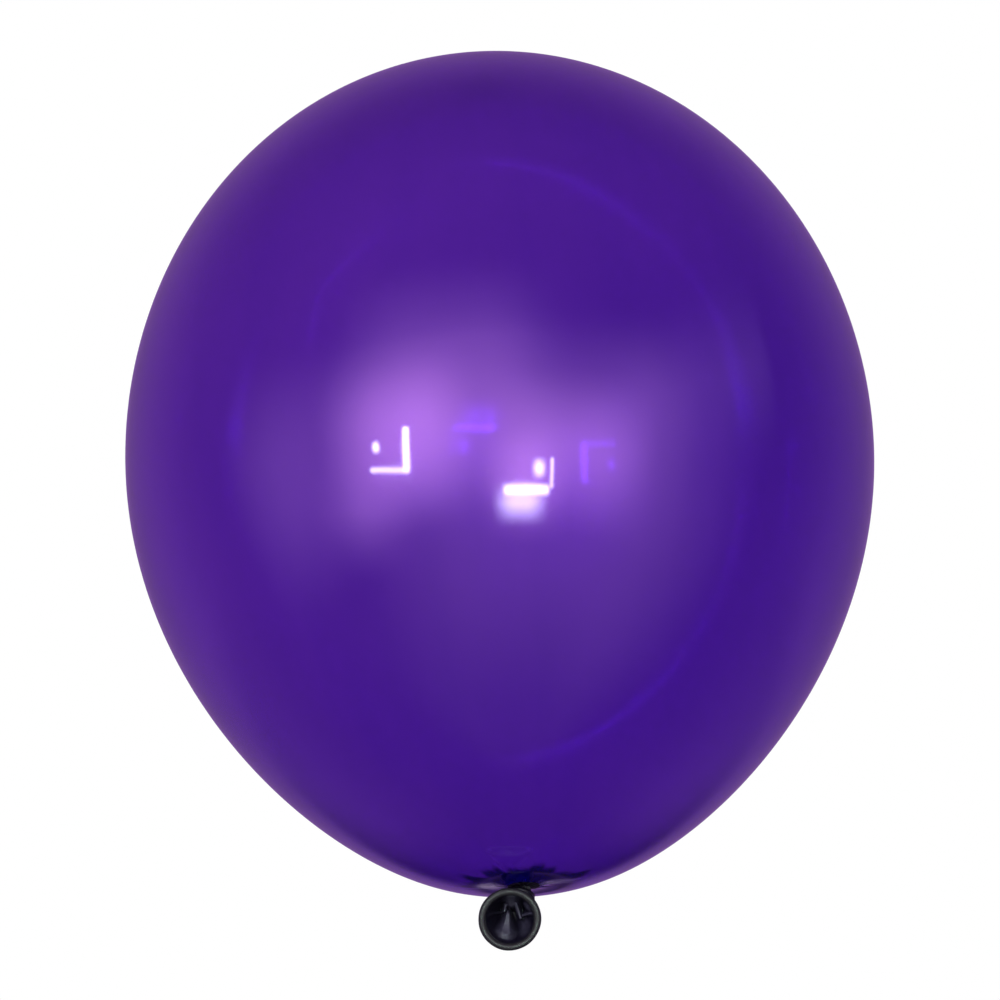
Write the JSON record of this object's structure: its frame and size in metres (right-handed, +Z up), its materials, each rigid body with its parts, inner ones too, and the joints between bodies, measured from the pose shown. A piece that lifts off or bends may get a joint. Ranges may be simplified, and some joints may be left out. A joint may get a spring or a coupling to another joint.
{
  "type": "latex balloon",
  "caption": "Blown-up party balloon of clear purple latex, its neck tied in an overhand knot, with a rolled rim round the open end of its tail.",
  "frame": {"origin": "middle of the waist between envelope and knot, where a ribbon ties", "axes": "+Z up through the crown, -Y the way the tail's mouth faces, +X to the right seen from the mouth's side"},
  "size_m": [0.3, 0.3, 0.3717],
  "materials": {
    "latex_film": "polished",
    "latex_tail": "gloss",
    "latex_thick": "gloss"
  },
  "bodies": {
    "envelope": {"envelope": "latex_film", "neck_gather": "latex_thick"},
    "knot": {"knot_loop": "latex_thick", "knot_strand": "latex_thick"},
    "tail": {"tail_sleeve": "latex_tail", "rolled_bead": "latex_thick"}
  },
  "joints": [
    {"name": "neck_twist", "type": "hinge", "parent": "envelope", "child": "knot", "pos_m": [0, 0, 0], "axis": [0, 0, 1], "range_deg": [-90, 90], "stiffness_Nm_per_rad": 0.0002},
    {"name": "tail_bend", "type": "hinge", "parent": "knot", "child": "tail", "pos_m": [-0.006, -0.0056, -0.0089], "axis": [1, 0, 0], "range_deg": [-15, 50], "stiffness_Nm_per_rad": 0.0001}
  ]
}
